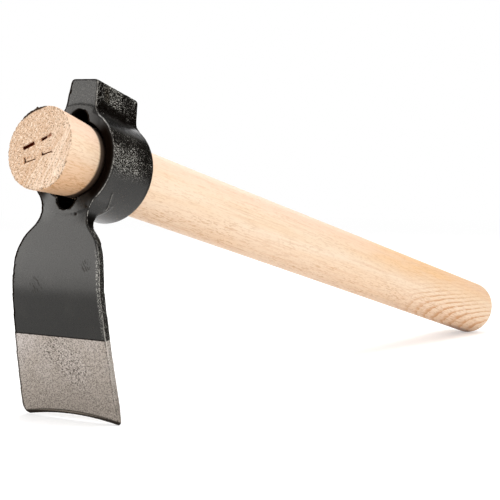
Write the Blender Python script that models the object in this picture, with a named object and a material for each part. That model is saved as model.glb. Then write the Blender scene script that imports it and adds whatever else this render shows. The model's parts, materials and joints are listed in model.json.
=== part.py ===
# Hand hoe: a forged head with a round eye, a square poll and a bent blade, on a turned beech handle.
# The head is drawn on the handle's own axes: X across the blade, Y along the handle from the eye's
# front face to the grip, Z from the blade up to the poll. An empty then leans the whole tool until
# it stands on the blade's two corners and on the butt of the handle. All sizes are in metres.

from math import asin, atan, atan2, cos, degrees, hypot, pi, radians, sin, sqrt, tan

import bmesh
import bpy
from mathutils import Matrix, Vector

# Eye ring
RING_DIAMETER = 0.0504
RING_DEPTH = 0.0336
RING_FRONT_ROUNDING = 0.0008
RING_BACK_ROUNDING = 0.0030
EYE_FRONT_DIAMETER = 0.0382
EYE_BACK_DIAMETER = 0.0348
EYE_MOUTH_BREAK = 0.0005

# Two round keyways in the eye, one towards the poll and one towards the blade
KEYWAY_RADIUS = 0.0057
KEYWAY_END_RADIUS = 0.0030
KEYWAY_REACH = 0.0246
KEYWAY_LENGTH = 0.0240

# Raised face round the eye where the ring meets the poll and the neck
BOSS_RADIUS = 0.0269
BOSS_HEIGHT = 0.0004
BOSS_ROOT = 0.0030

# Poll
POLL_TOP_WIDTH = 0.0171
POLL_BASE_WIDTH = 0.0189
POLL_FRONT_HEIGHT = 0.0400
POLL_BACK_HEIGHT = 0.0376
POLL_DEPTH = 0.0330
POLL_CORNER_RADIUS = 0.0022
POLL_FRONT_ROUNDING = 0.0013
POLL_BACK_ROUNDING = 0.0025
POLL_FILLET = 0.0070

# Neck and blade
NECK_WIDTH = 0.0289
NECK_SIDE_FILLET = 0.0110
NECK_BACK_FILLET = 0.0130
SHOULDER_SLOPE = radians(46.0)
SHOULDER_RADIUS = 0.0220
BLADE_LENGTH = 0.1287
EDGE_WIDTH = 0.0598
BLADE_TAPER_PER_LENGTH = 0.048
EDGE_CORNER_RADIUS = 0.0030
EDGE_HOLLOW = 0.0031
BLADE_THICKNESS = 0.0039
NECK_THICKNESS = 0.0049
BLADE_EDGE_BREAK = 0.0004
BEND_START = 0.0468
BEND_RADIUS = 0.0545
BEND_ANGLE = radians(21.9)
SWEEP_RADIUS = 0.4890
BACK_GRIND_LENGTH = 0.0120
BACK_GRIND_DEPTH = 0.0018
FRONT_BEVEL_LENGTH = 0.0022
FRONT_BEVEL_DEPTH = 0.0012

# Handle
HANDLE_LENGTH = 0.4562
STUB_LENGTH = 0.0227
STUB_END_DIAMETER = 0.0406
STUB_END_ROUNDING = 0.0008
GRIP_DIAMETER = 0.0336
GRIP_START = 0.1200
BUTT_ROUNDING = 0.0040
SEAT_CLEARANCE = 0.0003
MOUTH_CLEARANCE = 0.0010

# Slots that the lathe's driver leaves in the end grain: two rows of two
SLOT_LENGTH = 0.0060
SLOT_WIDTH = 0.0017
SLOT_DEPTH = 0.0025
SLOT_SPACING = 0.0111
SLOT_ROW_SPACING = 0.0070
SLOT_TILT = radians(23.0)
SLOT_CENTRE_ACROSS = -0.0023
SLOT_CENTRE_UP = -0.0005

# How far a shape reaches into its neighbour before a Boolean joins or cuts them
JOIN_OVERLAP = 0.0001
NECK_ROOT = 0.0015
CUTTER_OVERRUN = 0.0020
RUN_OUT = 0.0004

# Middle of the ring's wall at the front, where the poll, the neck and the raised face are rooted
WALL_MIDDLE = (RING_DIAMETER + EYE_FRONT_DIAMETER) / 4

RING_SEGMENTS = 96
HANDLE_SEGMENTS = 72
ARC_STEPS = 6
BLADE_COLUMNS = 18
LEAST_ROW_SPACING = 0.00005


def clear_scene():
    for thing in list(bpy.data.objects):
        bpy.data.objects.remove(thing)


def make_material(name, color, roughness, metallic):
    material = bpy.data.materials.new(name)
    material.use_nodes = True
    shader = material.node_tree.nodes["Principled BSDF"]
    shader.inputs["Base Color"].default_value = (*color, 1.0)
    shader.inputs["Roughness"].default_value = roughness
    shader.inputs["Metallic"].default_value = metallic
    return material


def add_object(name, bm, parent, material=None):
    """Turns a finished bmesh into an object. One without a material is a helper for a Boolean."""
    bmesh.ops.recalc_face_normals(bm, faces=bm.faces)
    mesh = bpy.data.meshes.new(name)
    bm.to_mesh(mesh)
    bm.free()
    mesh.shade_smooth()
    mesh.set_sharp_from_angle(angle=radians(32.0))
    thing = bpy.data.objects.new(name, mesh)
    thing.parent = parent
    bpy.context.scene.collection.objects.link(thing)
    if material:
        mesh.materials.append(material)
    else:
        thing.hide_render = True
        thing.display_type = "WIRE"
    return thing


def apply_boolean(target, other, operation, solver="EXACT"):
    modifier = target.modifiers.new(f"{operation.lower()}_{other.name}", "BOOLEAN")
    modifier.operation = operation
    modifier.solver = solver
    modifier.object = other


def arc(centre, radius, start, end, steps=ARC_STEPS):
    """Points on an arc in a plane, from the start angle to the end angle, both included."""
    angles = [start + (end - start) * i / steps for i in range(steps + 1)]
    return [(centre[0] + radius * cos(a), centre[1] + radius * sin(a)) for a in angles]


def turned(profile, segments, closed=False):
    """Spins a profile of (radius, y) points round the Y axis. An open one starts and ends on the axis."""
    bm = bmesh.new()
    points = [bm.verts.new((radius, y, 0.0)) for radius, y in profile]
    following = points[1:] + points[:1] if closed else points[1:]
    edges = [bm.edges.new(pair) for pair in zip(points, following)]
    bmesh.ops.spin(
        bm, geom=points + edges, cent=(0, 0, 0), axis=(0, 1, 0),
        angle=2 * pi, steps=segments, use_merge=True,
    )
    bmesh.ops.remove_doubles(bm, verts=bm.verts, dist=1e-6)
    return bm


def lofted(sections):
    """Joins closed sections. A section's first half mirrors its second, so a ladder of faces caps it."""
    bm = bmesh.new()
    loops = [[bm.verts.new(point) for point in section] for section in sections]
    for near, far in zip(loops, loops[1:]):
        for i in range(len(near)):
            bm.faces.new((near[i - 1], near[i], far[i], far[i - 1]))
    for loop in (loops[0], loops[-1]):
        for i in range(len(loop) // 2 - 1):
            bm.faces.new((loop[i], loop[i + 1], loop[-i - 2], loop[-i - 1]))
    return bm


def eye_radius(y):
    return (EYE_FRONT_DIAMETER + (EYE_BACK_DIAMETER - EYE_FRONT_DIAMETER) * y / RING_DEPTH) / 2


def ring_body(parent, material):
    """The ring with its tapered eye, turned in one closed profile from the eye's mouth round and back."""
    radius = RING_DIAMETER / 2
    front, back = RING_FRONT_ROUNDING, RING_BACK_ROUNDING
    profile = [(eye_radius(0.0) + EYE_MOUTH_BREAK, 0.0)]
    profile += arc((radius - front, front), front, -pi / 2, 0.0, 3)
    profile += arc((radius - back, RING_DEPTH - back), back, 0.0, pi / 2)
    profile += [(eye_radius(RING_DEPTH), RING_DEPTH), (eye_radius(EYE_MOUTH_BREAK), EYE_MOUTH_BREAK)]
    return add_object("head", turned(profile, RING_SEGMENTS, closed=True), parent, material)


def poll_section(y, inset):
    """Outline of the poll at one depth, drawn in by the inset, with fillets that run into the ring."""
    share = min(max(y / POLL_DEPTH, 0.0), 1.0)
    top = POLL_FRONT_HEIGHT + (POLL_BACK_HEIGHT - POLL_FRONT_HEIGHT) * share - inset
    base_half = POLL_BASE_WIDTH / 2 - inset
    top_half = POLL_TOP_WIDTH / 2 - inset
    ring = RING_DIAMETER / 2 - JOIN_OVERLAP
    fillet = POLL_FILLET + inset
    centre_x = base_half + fillet
    centre_z = sqrt(max((ring + fillet) ** 2 - centre_x**2, 0.0))
    corner = min(max(POLL_CORNER_RADIUS - inset, 0.0002), top_half * 0.9)
    foot = asin(min(0.8 * centre_x / ring, 0.9))
    half = arc((0.0, 0.0), WALL_MIDDLE, pi / 2 - foot / 4, pi / 2 - foot, 3)
    half += arc((centre_x, centre_z), fillet, atan2(-centre_z, -centre_x), -pi, ARC_STEPS)
    half += arc((top_half - corner, top - corner), corner, 0.0, pi / 2, 4)
    outline = half + [(-x, z) for x, z in reversed(half)]
    return [(x, y, z) for x, z in outline]


def poll(parent):
    stations = []
    for face, radius, inward in ((BOSS_HEIGHT, POLL_FRONT_ROUNDING, 1), (POLL_DEPTH, POLL_BACK_ROUNDING, -1)):
        turn = [radians(angle) for angle in (0, 30, 60, 90)[::inward]]
        stations += [(face + inward * radius * (1 - cos(a)), radius * (1 - sin(a))) for a in turn]
    return add_object("poll_body", lofted([poll_section(y, inset) for y, inset in stations]), parent)


def rounded_corner(start, corner, end, radius):
    """Points on the arc that rounds a corner of an outline. Its radius is limited by the two sides."""
    corner = Vector(corner)
    before = (Vector(start) - corner).normalized()
    after = (Vector(end) - corner).normalized()
    half_turn = before.angle(after) / 2
    longest = 0.9 * min((Vector(start) - corner).length, (Vector(end) - corner).length)
    reach = min(radius / tan(half_turn), longest)
    centre = corner + (before + after).normalized() * reach / cos(half_turn)
    first, last = corner + before * reach - centre, corner + after * reach - centre
    ends = (atan2(first.y, first.x), atan2(last.y, last.x))
    return arc(tuple(centre), first.length, *ends, 2 * ARC_STEPS)


def side_outline():
    """Half of the neck's and blade's outline as (half width, distance below the handle's axis)."""
    ring = RING_DIAMETER / 2 - JOIN_OVERLAP / 2
    across = NECK_WIDTH / 2 + NECK_SIDE_FILLET
    drop = sqrt(max((ring + NECK_SIDE_FILLET) ** 2 - across**2, 0.0))
    touch = atan2(-drop, -across)
    points = [(across * ring / (ring + NECK_SIDE_FILLET), 0.0)]
    points += arc((across, drop), NECK_SIDE_FILLET, touch, -pi - SHOULDER_SLOPE, 2 * ARC_STEPS)
    start = points[-1]
    edge_half = EDGE_WIDTH / 2
    side_at_start = edge_half - (BLADE_LENGTH - start[1]) * BLADE_TAPER_PER_LENGTH
    run = (side_at_start - start[0]) / (tan(SHOULDER_SLOPE) - BLADE_TAPER_PER_LENGTH)
    shoulder = (start[0] + run * tan(SHOULDER_SLOPE), start[1] + run)
    points += rounded_corner(start, shoulder, (edge_half, BLADE_LENGTH), SHOULDER_RADIUS)
    corner = EDGE_CORNER_RADIUS
    points += arc((edge_half - corner, BLADE_LENGTH - corner), corner, 0.0, pi / 2)
    return points


def width_at(outline, drop):
    """Half width of the outline at a distance below the handle's axis."""
    for (w0, s0), (w1, s1) in zip(outline, outline[1:]):
        if s0 <= drop <= s1 and s1 > s0:
            return w0 + (w1 - w0) * (drop - s0) / (s1 - s0)
    return outline[-1][0]


def row_drop(x, s):
    """How far down a row of the blade lies at x. Rows follow the ring above and the hollow edge below."""
    ring = RING_DIAMETER / 2
    bow = min(max(1.0 - (s - ring) / NECK_BACK_FILLET, 0.0), 1.0)
    low = min(max((s - BEND_START) / (BLADE_LENGTH - BEND_START), 0.0), 1.0)
    round_ring = s - sqrt(max(s * s - x * x, 0.0))
    hollow = EDGE_HOLLOW * (1.0 - (2.0 * x / EDGE_WIDTH) ** 2)
    return s - bow * round_ring - low**2 * hollow


def row_half_width(outline, s):
    """Where the row that passes through s on the blade's middle meets the outline."""
    low, high = 0.0, EDGE_WIDTH
    for _ in range(40):
        x = (low + high) / 2
        if width_at(outline, row_drop(x, s)) > x:
            low = x
        else:
            high = x
    return low


def front_profile(s):
    """Point (y, z) and lean of the blade's front face at a distance s down it from the handle's axis."""
    y = BOSS_HEIGHT
    straight = min(s, BEND_START)
    z = -straight
    rest = s - straight
    bend = min(rest / BEND_RADIUS, BEND_ANGLE)
    y += BEND_RADIUS * (1 - cos(bend))
    z -= BEND_RADIUS * sin(bend)
    rest -= bend * BEND_RADIUS
    lean = bend + rest / SWEEP_RADIUS
    y += SWEEP_RADIUS * (cos(bend) - cos(lean))
    z -= SWEEP_RADIUS * (sin(lean) - sin(bend))
    return y, z, lean


def thickness_at(s):
    """The forging thins from the neck down to where the blade starts to bend."""
    ring = RING_DIAMETER / 2
    share = min(max((s - ring) / (BEND_START - ring), 0.0), 1.0)
    return NECK_THICKNESS + (BLADE_THICKNESS - NECK_THICKNESS) * share


def ground_off(distance, length, depth):
    """How much grinding takes off a face at a distance from the cutting edge."""
    return depth * max(1.0 - distance / length, 0.0)


def blade_section(half_width, s):
    """Closed section along one row of the neck or blade, with broken corners."""
    ring = RING_DIAMETER / 2 - JOIN_OVERLAP
    to_edge = BLADE_LENGTH - s
    off_front = ground_off(to_edge, FRONT_BEVEL_LENGTH, FRONT_BEVEL_DEPTH)
    off_back = ground_off(to_edge, BACK_GRIND_LENGTH, BACK_GRIND_DEPTH)
    inner = half_width - BLADE_EDGE_BREAK
    columns = [inner * (2.0 * i / BLADE_COLUMNS - 1.0) for i in range(BLADE_COLUMNS + 1)]
    front, back = [], []
    for x in [-half_width] + columns + [half_width]:
        y, z, lean = front_profile(row_drop(x, s))
        gap = min(max(hypot(x, z) - ring, 0.0), NECK_BACK_FILLET)
        fillet = NECK_BACK_FILLET - sqrt(NECK_BACK_FILLET**2 - (NECK_BACK_FILLET - gap) ** 2)
        near, far = off_front, thickness_at(s) - off_back + fillet
        if abs(x) > inner:
            corner = min(BLADE_EDGE_BREAK, (far - near) * 0.3)
            near, far = near + corner, far - corner
        front.append((x, y + near * cos(lean), z + near * sin(lean)))
        back.append((x, y + far * cos(lean), z + far * sin(lean)))
    return front + back[::-1]


def blade_rows():
    """Stations down the blade, close together where the form turns."""
    ring = RING_DIAMETER / 2
    steps = range(9)
    rows = [ring - NECK_ROOT, BLADE_LENGTH]
    rows += [ring + NECK_BACK_FILLET * (1.0 - cos(pi / 2 * i / 8)) for i in steps]
    rows += [s for _, s in side_outline() if s > ring + NECK_BACK_FILLET * 0.3]
    rows += [BEND_START + BEND_RADIUS * BEND_ANGLE * i / 8 for i in steps]
    rows += [BLADE_LENGTH - BACK_GRIND_LENGTH, BLADE_LENGTH - FRONT_BEVEL_LENGTH]
    rows += [BEND_START + (BLADE_LENGTH - BEND_START) * i / 16 for i in range(16)]
    kept = []
    for s in sorted(rows):
        if not kept or s - kept[-1] > LEAST_ROW_SPACING:
            kept.append(s)
    kept[-1] = BLADE_LENGTH
    return kept


def blade(parent):
    outline = side_outline()
    sections = [blade_section(row_half_width(outline, s), s) for s in blade_rows()]
    return add_object("blade_body", lofted(sections), parent)


def boss(parent):
    """The raised face: two arched plates that reach past the ring, over the poll's foot and the neck."""
    bm = bmesh.new()
    for side, half_width in ((1.0, POLL_BASE_WIDTH / 2), (-1.0, NECK_WIDTH / 2)):
        spread = 0.95 * half_width / BOSS_RADIUS
        ends = (side * pi / 2 - spread, side * pi / 2 + spread)
        rim = arc((0.0, 0.0), BOSS_RADIUS, *ends, 2 * ARC_STEPS)
        foot = arc((0.0, 0.0), WALL_MIDDLE, *reversed(ends), 2 * ARC_STEPS)
        face = bm.faces.new([bm.verts.new((x, 0.0, z)) for x, z in rim + foot])
        grown = bmesh.ops.extrude_face_region(bm, geom=[face])["geom"]
        moved = [v for v in grown if isinstance(v, bmesh.types.BMVert)]
        bmesh.ops.translate(bm, verts=moved, vec=(0.0, BOSS_ROOT, 0.0))
    return add_object("boss_body", bm, parent)


def keyway_cutter(name, side, parent):
    """A drafted round punch that starts at the keyway's reach and runs out into the eye's wall."""
    bm = bmesh.new()
    overrun = CUTTER_OVERRUN / KEYWAY_LENGTH
    end_reach = eye_radius(KEYWAY_LENGTH) - RUN_OUT
    rims = []
    for share in (-overrun, 1.0 + overrun):
        radius = KEYWAY_RADIUS + (KEYWAY_END_RADIUS - KEYWAY_RADIUS) * share
        centre = KEYWAY_REACH + (end_reach - KEYWAY_REACH) * share - radius
        ring = bmesh.ops.create_circle(bm, cap_ends=True, radius=radius, segments=32)["verts"]
        bmesh.ops.rotate(bm, verts=ring, cent=(0, 0, 0), matrix=Matrix.Rotation(radians(90), 3, "X"))
        bmesh.ops.translate(bm, verts=ring, vec=(0.0, KEYWAY_LENGTH * share, side * centre))
        rims += list({edge for v in ring for edge in v.link_edges})
    bmesh.ops.bridge_loops(bm, edges=rims)
    return add_object(name, bm, parent)


def head(parent, material):
    body = ring_body(parent, material)
    # The exact solver loses the ring where a thin wall meets the fillets, so the manifold one joins and cuts
    for shape in (poll(parent), blade(parent), boss(parent)):
        apply_boolean(body, shape, "UNION", solver="MANIFOLD")
    for name, side in (("poll_keyway", 1.0), ("blade_keyway", -1.0)):
        apply_boolean(body, keyway_cutter(name, side, parent), "DIFFERENCE", solver="MANIFOLD")
    return body


def handle_profile():
    """The turned outline: a flared end, a cone that seats in the back of the eye, the grip and its butt."""
    seat = eye_radius(RING_DEPTH) - SEAT_CLEARANCE
    mouth = eye_radius(0.0) - MOUTH_CLEARANCE
    slope = atan((STUB_END_DIAMETER / 2 - mouth) / STUB_LENGTH)
    tip = HANDLE_LENGTH - STUB_LENGTH
    grip = min(GRIP_DIAMETER / 2, seat)
    ease = STUB_END_ROUNDING
    centre = (STUB_END_DIAMETER / 2 - ease / cos(slope) - ease * tan(slope), ease - STUB_LENGTH)
    profile = [(0.0, -STUB_LENGTH)]
    profile += arc(centre, ease, -pi / 2, slope, 4)
    profile += [(mouth, 0.0), (seat, RING_DEPTH), (grip + (seat - grip) * 0.35, (RING_DEPTH + GRIP_START) / 2)]
    profile += [(grip, GRIP_START), (grip, (GRIP_START + tip) / 2)]
    profile += arc((grip - BUTT_ROUNDING, tip - BUTT_ROUNDING), BUTT_ROUNDING, 0.0, pi / 2)
    return profile + [(0.0, tip)]


def slot_cutter(name, across, up, parent):
    bm = bmesh.new()
    bmesh.ops.create_cube(bm, size=1.0)
    depth = SLOT_DEPTH + CUTTER_OVERRUN
    bmesh.ops.scale(bm, vec=(SLOT_LENGTH, depth, SLOT_WIDTH), verts=bm.verts)
    cutter = add_object(name, bm, parent)
    middle_y = -STUB_LENGTH + (SLOT_DEPTH - CUTTER_OVERRUN) / 2
    x = SLOT_CENTRE_ACROSS + across * cos(SLOT_TILT) - up * sin(SLOT_TILT)
    z = SLOT_CENTRE_UP + across * sin(SLOT_TILT) + up * cos(SLOT_TILT)
    cutter.location = (x, middle_y, z)
    cutter.rotation_euler = (0.0, -SLOT_TILT, 0.0)
    return cutter


def handle(parent, material):
    body = add_object("handle", turned(handle_profile(), HANDLE_SEGMENTS), parent, material)
    for row, up in enumerate((SLOT_ROW_SPACING / 2, -SLOT_ROW_SPACING / 2)):
        for place, across in enumerate((-SLOT_SPACING / 2, SLOT_SPACING / 2)):
            cutter = slot_cutter(f"driver_slot_{row}_{place}", across, up, parent)
            apply_boolean(body, cutter, "DIFFERENCE")
    return body


def shape_points(thing):
    """The finished corners of an object, Booleans included, on the handle's own axes."""
    bpy.context.view_layer.update()
    evaluated = thing.evaluated_get(bpy.context.evaluated_depsgraph_get())
    points = [vertex.co.copy() for vertex in evaluated.to_mesh().vertices]
    evaluated.to_mesh_clear()
    return points


def leaned(point, lean):
    """World Y and Z of a point once the tool leans with its butt down."""
    y = point.y * cos(lean) + point.z * sin(lean)
    z = point.z * cos(lean) - point.y * sin(lean)
    return y, z


def stand_on_floor(pose, head_piece, handle_piece):
    """Leans the tool until the blade and the butt touch one floor, and puts the origin below its middle."""
    head_points = shape_points(head_piece)
    handle_points = shape_points(handle_piece)
    low, high = 0.0, radians(60.0)
    for _ in range(50):
        lean = (low + high) / 2
        head_low = min(leaned(p, lean)[1] for p in head_points)
        handle_low = min(leaned(p, lean)[1] for p in handle_points)
        if head_low < handle_low:
            low = lean
        else:
            high = lean
    places = [leaned(p, lean) for p in head_points + handle_points]
    across = [y for y, _ in places]
    pose.rotation_euler = (-lean, 0.0, 0.0)
    pose.location = (0.0, -(min(across) + max(across)) / 2, -min(z for _, z in places))
    return lean


def main():
    clear_scene()
    lacquered_steel = make_material("black_lacquered_steel", (0.030, 0.030, 0.032), 0.42, 0.0)
    beech = make_material("beech", (0.72, 0.50, 0.30), 0.55, 0.0)
    pose = bpy.data.objects.new("standing_pose", None)
    bpy.context.scene.collection.objects.link(pose)
    head_piece = head(pose, lacquered_steel)
    handle_piece = handle(pose, beech)
    lean = stand_on_floor(pose, head_piece, handle_piece)
    bpy.context.view_layer.update()
    print("lean of the handle in degrees:", round(degrees(lean), 4))
    print("eye centre at the front face:", tuple(round(value, 6) for value in pose.location))


main()
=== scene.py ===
# Hand hoe with a poll: a forged, lacquered head with a bent blade, on a turned beech handle.
# Everything is modelled in millimetres on the handle's axes (X across, Y from the eye to the
# grip, Z up to the poll) and then set on the frame, which leans the tool as it stands.
import json
from functools import partial, reduce
from math import asin, atan2, cos, degrees, hypot, pi, radians, sin, sqrt, tan

import bmesh
import bpy
from mathutils import Matrix, Vector, noise


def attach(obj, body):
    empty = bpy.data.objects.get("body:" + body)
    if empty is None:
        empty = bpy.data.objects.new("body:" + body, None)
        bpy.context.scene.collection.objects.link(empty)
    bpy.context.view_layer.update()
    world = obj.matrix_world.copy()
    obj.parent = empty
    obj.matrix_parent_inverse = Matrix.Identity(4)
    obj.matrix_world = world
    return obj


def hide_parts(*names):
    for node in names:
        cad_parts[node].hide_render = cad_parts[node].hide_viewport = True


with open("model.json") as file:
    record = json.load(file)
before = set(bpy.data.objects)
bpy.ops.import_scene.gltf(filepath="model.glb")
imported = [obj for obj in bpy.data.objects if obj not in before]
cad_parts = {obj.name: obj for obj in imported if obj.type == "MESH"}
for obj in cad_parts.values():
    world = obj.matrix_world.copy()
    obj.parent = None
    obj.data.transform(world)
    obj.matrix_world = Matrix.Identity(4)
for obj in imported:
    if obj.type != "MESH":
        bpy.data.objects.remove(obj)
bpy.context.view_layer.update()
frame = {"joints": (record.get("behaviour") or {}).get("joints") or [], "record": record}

# where the tool stands: the slide joint gives its lean, the handle's end mount gives the eye's centre
stance = {
    "endMount": "handle_front_end",
    "mountBefore": 22.7,  # mount's distance in front of the eye, mm
    "mountAbove": 12,  # mount's height above the axis, mm
}
toGrip = -Vector(frame["joints"][0]["axis"])
lean = atan2(-toGrip.z, toGrip.y)
endMount = [m for m in frame["record"]["mounts"] if m["name"] == stance["endMount"]][0]
turn = Matrix.Rotation(-lean, 4, "X")
mountOnTool = Vector((0, -stance["mountBefore"], stance["mountAbove"])) / 1000
eyeCentre = Vector(endMount["pos_m"]) - turn @ mountOnTool
toolPlace = Matrix.Translation(eyeCentre) @ turn @ Matrix.Scale(0.001, 4)
print("tool leans", round(degrees(lean), 2), "degrees, eye at", [round(v, 4) for v in eyeCentre])


# shared helpers
def addObject(name, data):
    new = bpy.data.objects.new(name, data)
    bpy.context.scene.collection.objects.link(new)
    return new


def pieceFrom(name, bm):
    bmesh.ops.recalc_face_normals(bm, faces=bm.faces)
    mesh = bpy.data.meshes.new(name)
    bm.to_mesh(mesh)
    bm.free()
    return addObject(name, mesh)


def extruded(bm, faces):
    grown = bmesh.ops.extrude_face_region(bm, geom=faces, use_keep_orig=True)["geom"]
    return [g for g in grown if isinstance(g, bmesh.types.BMVert)]


def roundOff(bm, edges, offset, segments):
    bmesh.ops.bevel(
        bm, geom=edges, offset=offset, offset_type="OFFSET", affect="EDGES",
        segments=segments, profile=0.5, material=-1, clamp_overlap=True,
    )


def addBoolean(piece, other, operation):
    cut = piece.modifiers.new(other.name, "BOOLEAN")
    cut.operation = operation
    cut.solver = "MANIFOLD"
    cut.object = other


def bakeModifiers(piece, helpers):
    bpy.context.view_layer.update()
    graph = bpy.context.evaluated_depsgraph_get()
    mesh = bpy.data.meshes.new_from_object(piece.evaluated_get(graph))
    piece.modifiers.clear()
    piece.data = mesh
    for helper in helpers:
        bpy.data.objects.remove(helper)


def arc(centre, radius, start, end, steps):
    angles = [start + (end - start) * i / steps for i in range(steps + 1)]
    return [(centre[0] + radius * cos(a), centre[1] + radius * sin(a)) for a in angles]


def spunAboutHandle(profile, segments, closed=False):
    bm = bmesh.new()
    points = [bm.verts.new((radius, y, 0)) for radius, y in profile]
    following = points[1:] + points[:1] if closed else points[1:]
    edges = [bm.edges.new(pair) for pair in zip(points, following)]
    bmesh.ops.spin(bm, geom=points + edges, axis=(0, 1, 0), angle=2 * pi, steps=segments, use_merge=True)
    bmesh.ops.remove_doubles(bm, verts=bm.verts, dist=0.0005)
    return bm


def setOnFrame(piece, material, sharp=38):
    mesh = piece.data
    mesh.transform(toolPlace)
    mesh.materials.clear()
    mesh.materials.append(material)
    mesh.polygons.foreach_set("material_index", [0] * len(mesh.polygons))
    mesh.shade_smooth()
    mesh.set_sharp_from_angle(angle=radians(sharp))
    mesh.update()


def smoothStep(low, high, value):
    share = min(max((value - low) / (high - low), 0), 1)
    return share * share * (3 - 2 * share)


# shader nodes of one tree: a socket, a value or a name from the palette goes in, a socket comes out
class Nodes:
    def __init__(self, tree, palette):
        self.tree = tree
        self.palette = palette

    def fill(self, node, inputs):
        for key, value in inputs.items():
            socket = node.inputs[key]
            value = self.palette[value] if isinstance(value, str) else value
            if isinstance(value, bpy.types.NodeSocket):
                self.tree.links.new(value, socket)
            else:
                socket.default_value = (*value, 1) if socket.type == "RGBA" else value
        return node

    def add(self, kind, inputs=None, **settings):
        node = self.tree.nodes.new("ShaderNode" + kind)
        for key, value in settings.items():
            setattr(node, key, value)
        return self.fill(node, inputs or {})

    def math(self, operation, *values, clamp=False):
        return self.add("Math", dict(enumerate(values)), operation=operation, use_clamp=clamp).outputs[0]

    def times(self, *values):
        return reduce(partial(self.math, "MULTIPLY"), values)

    def plus(self, *values):
        return reduce(partial(self.math, "ADD"), values)

    def most(self, *values):
        return reduce(partial(self.math, "MAXIMUM"), values)

    def less(self, first, second):
        return self.math("SUBTRACT", first, second)

    def rest(self, share):
        return self.less(1, share)

    def size(self, value):
        return self.math("ABSOLUTE", value)

    def ramp(self, value, low, high, toLow=0, toHigh=1, kind="SMOOTHSTEP"):
        return self.add("MapRange", {
            "Value": value, "From Min": low, "From Max": high, "To Min": toLow, "To Max": toHigh,
        }, interpolation_type=kind).outputs["Result"]

    def between(self, value, start, full, leave, end):
        # rises from start to full, falls from leave to end
        return self.times(self.ramp(value, start, full), self.ramp(value, end, leave))

    def mix(self, share, first, second):
        return self.add("Mix", {0: share, 2: first, 3: second}).outputs[0]

    def coats(self, color, *layers):
        # colours laid over one another, each by its share
        for share, over in layers:
            color = self.add("Mix", {0: share, 6: color, 7: over}, data_type="RGBA").outputs[2]
        return color

    def noise(self, spot, scale, detail=2, roughness=0.5):
        if isinstance(scale, tuple):  # stretched
            spot, scale = self.add("Mapping", {"Vector": spot, "Scale": scale}).outputs[0], 1
        return self.add("TexNoise", {
            "Vector": spot, "Scale": scale, "Detail": detail, "Roughness": roughness,
        }).outputs["Fac"]

    def dot(self, vector, direction):
        return self.add("VectorMath", {0: vector, 1: direction}, operation="DOT_PRODUCT").outputs["Value"]

    def turned(self, spot, angle):
        return self.add("Mapping", {"Vector": spot, "Rotation": (0, radians(angle), 0)}).outputs[0]

    def toolSpot(self):
        # the point on the handle's own axes in millimetres, its three parts, its distance from the axis
        back = Matrix.Rotation(lean, 3, "X")
        spot = self.add("Mapping", {
            "Vector": self.add("TexCoord").outputs["Object"], "Rotation": (lean, 0, 0),
            "Location": -(back @ eyeCentre) * 1000, "Scale": (1000, 1000, 1000),
        }).outputs[0]
        flat = self.add("VectorMath", {0: spot, 1: (1, 0, 1)}, operation="MULTIPLY").outputs[0]
        radius = self.add("VectorMath", {0: flat}, operation="LENGTH").outputs["Value"]
        return spot, *self.add("SeparateXYZ", {0: spot}).outputs, radius

    def facing(self, direction):
        # how far a face turns to a direction on the tool
        normal = self.add("NewGeometry").outputs["Normal"]
        return self.dot(normal, turn.to_3x3() @ Vector(direction))

    def seen(self):
        # 1 for rays that show a thing, 0 for the light that it sheds
        path = self.add("LightPath").outputs
        straight = self.math("ADD", path["Is Camera Ray"], path["Is Glossy Ray"], clamp=True)
        return self.math("ADD", straight, path["Is Transmission Ray"], clamp=True)


def newMaterial(name, palette):
    material = bpy.data.materials.new(name)
    material.use_nodes = True
    tree = material.node_tree
    return material, Nodes(tree, palette), tree.nodes["Principled BSDF"]


# head: ring, poll, blade and raised face
eye = {
    "ringRadius": 25.2, "depth": 33.6, "frontRounding": 0.8, "backRounding": 3,
    "frontRadius": 19.1, "backRadius": 17.4, "mouthBreak": 0.5, "segments": 256,
    "keywayRadius": 5.7, "keywayEndRadius": 3, "keywayReach": 24.6, "keywayLength": 24,
    "keywayOverrun": 2, "keywayEndInset": 0.4,
    "bossRadius": 26.9, "bossRoot": 3, "bossSpread": 0.95,
}
poll = {
    "topWidth": 17.1, "baseWidth": 18.9, "frontHeight": 39.88, "backHeight": 37.6, "depth": 33,
    "corner": 2.2, "frontRounding": 1.3, "backRounding": 2.5, "fillet": 7, "setBack": 0.25,
    "sink": 0.1,  # how far its foot lies inside the ring
}
blade = {
    "neckWidth": 28.9, "neckFillet": 11, "backFillet": 13, "neckSink": 1.5,
    "shoulderSlope": 46, "shoulderRadius": 22,
    "length": 128.7, "edgeWidth": 59.8, "taper": 0.048, "leftCorner": 6.5, "rightCorner": 2,
    "hollow": 3.1, "thickness": 3.9, "neckThickness": 4.9, "sideBreak": 0.5,
    "bendStart": 46.8, "bendRadius": 54.5, "bendAngle": 21.9, "sweepRadius": 489,
    "rightSwell": 1.2, "swellUp": (42, 58), "swellDown": (122, 70),  # the right side bulges between these
    "backGrindLength": 12, "backGrindDepth": 1.8, "bevelLength": 2.2, "bevelDepth": 1.2,
    "cutterFrom": -0.6, "cutterTo": 1.5, "cutterSpare": 3, "cutterThickness": 4,  # first two in bevel lengths
    "across": 96, "down": 190,  # faces of the front's grid
}


def eyeRadiusAt(y):
    return eye["frontRadius"] + (eye["backRadius"] - eye["frontRadius"]) * y / eye["depth"]


def ringBody():
    radius, front, back = eye["ringRadius"], eye["frontRounding"], eye["backRounding"]
    profile = [(eyeRadiusAt(0) + eye["mouthBreak"], 0)]
    profile += arc((radius - front, front), front, -pi / 2, 0, 6)
    profile += arc((radius - back, eye["depth"] - back), back, 0, pi / 2, 12)
    profile += [(eyeRadiusAt(y), y) for y in (eye["depth"], eye["mouthBreak"])]
    return pieceFrom("headSkin", spunAboutHandle(profile, eye["segments"], closed=True))


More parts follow.
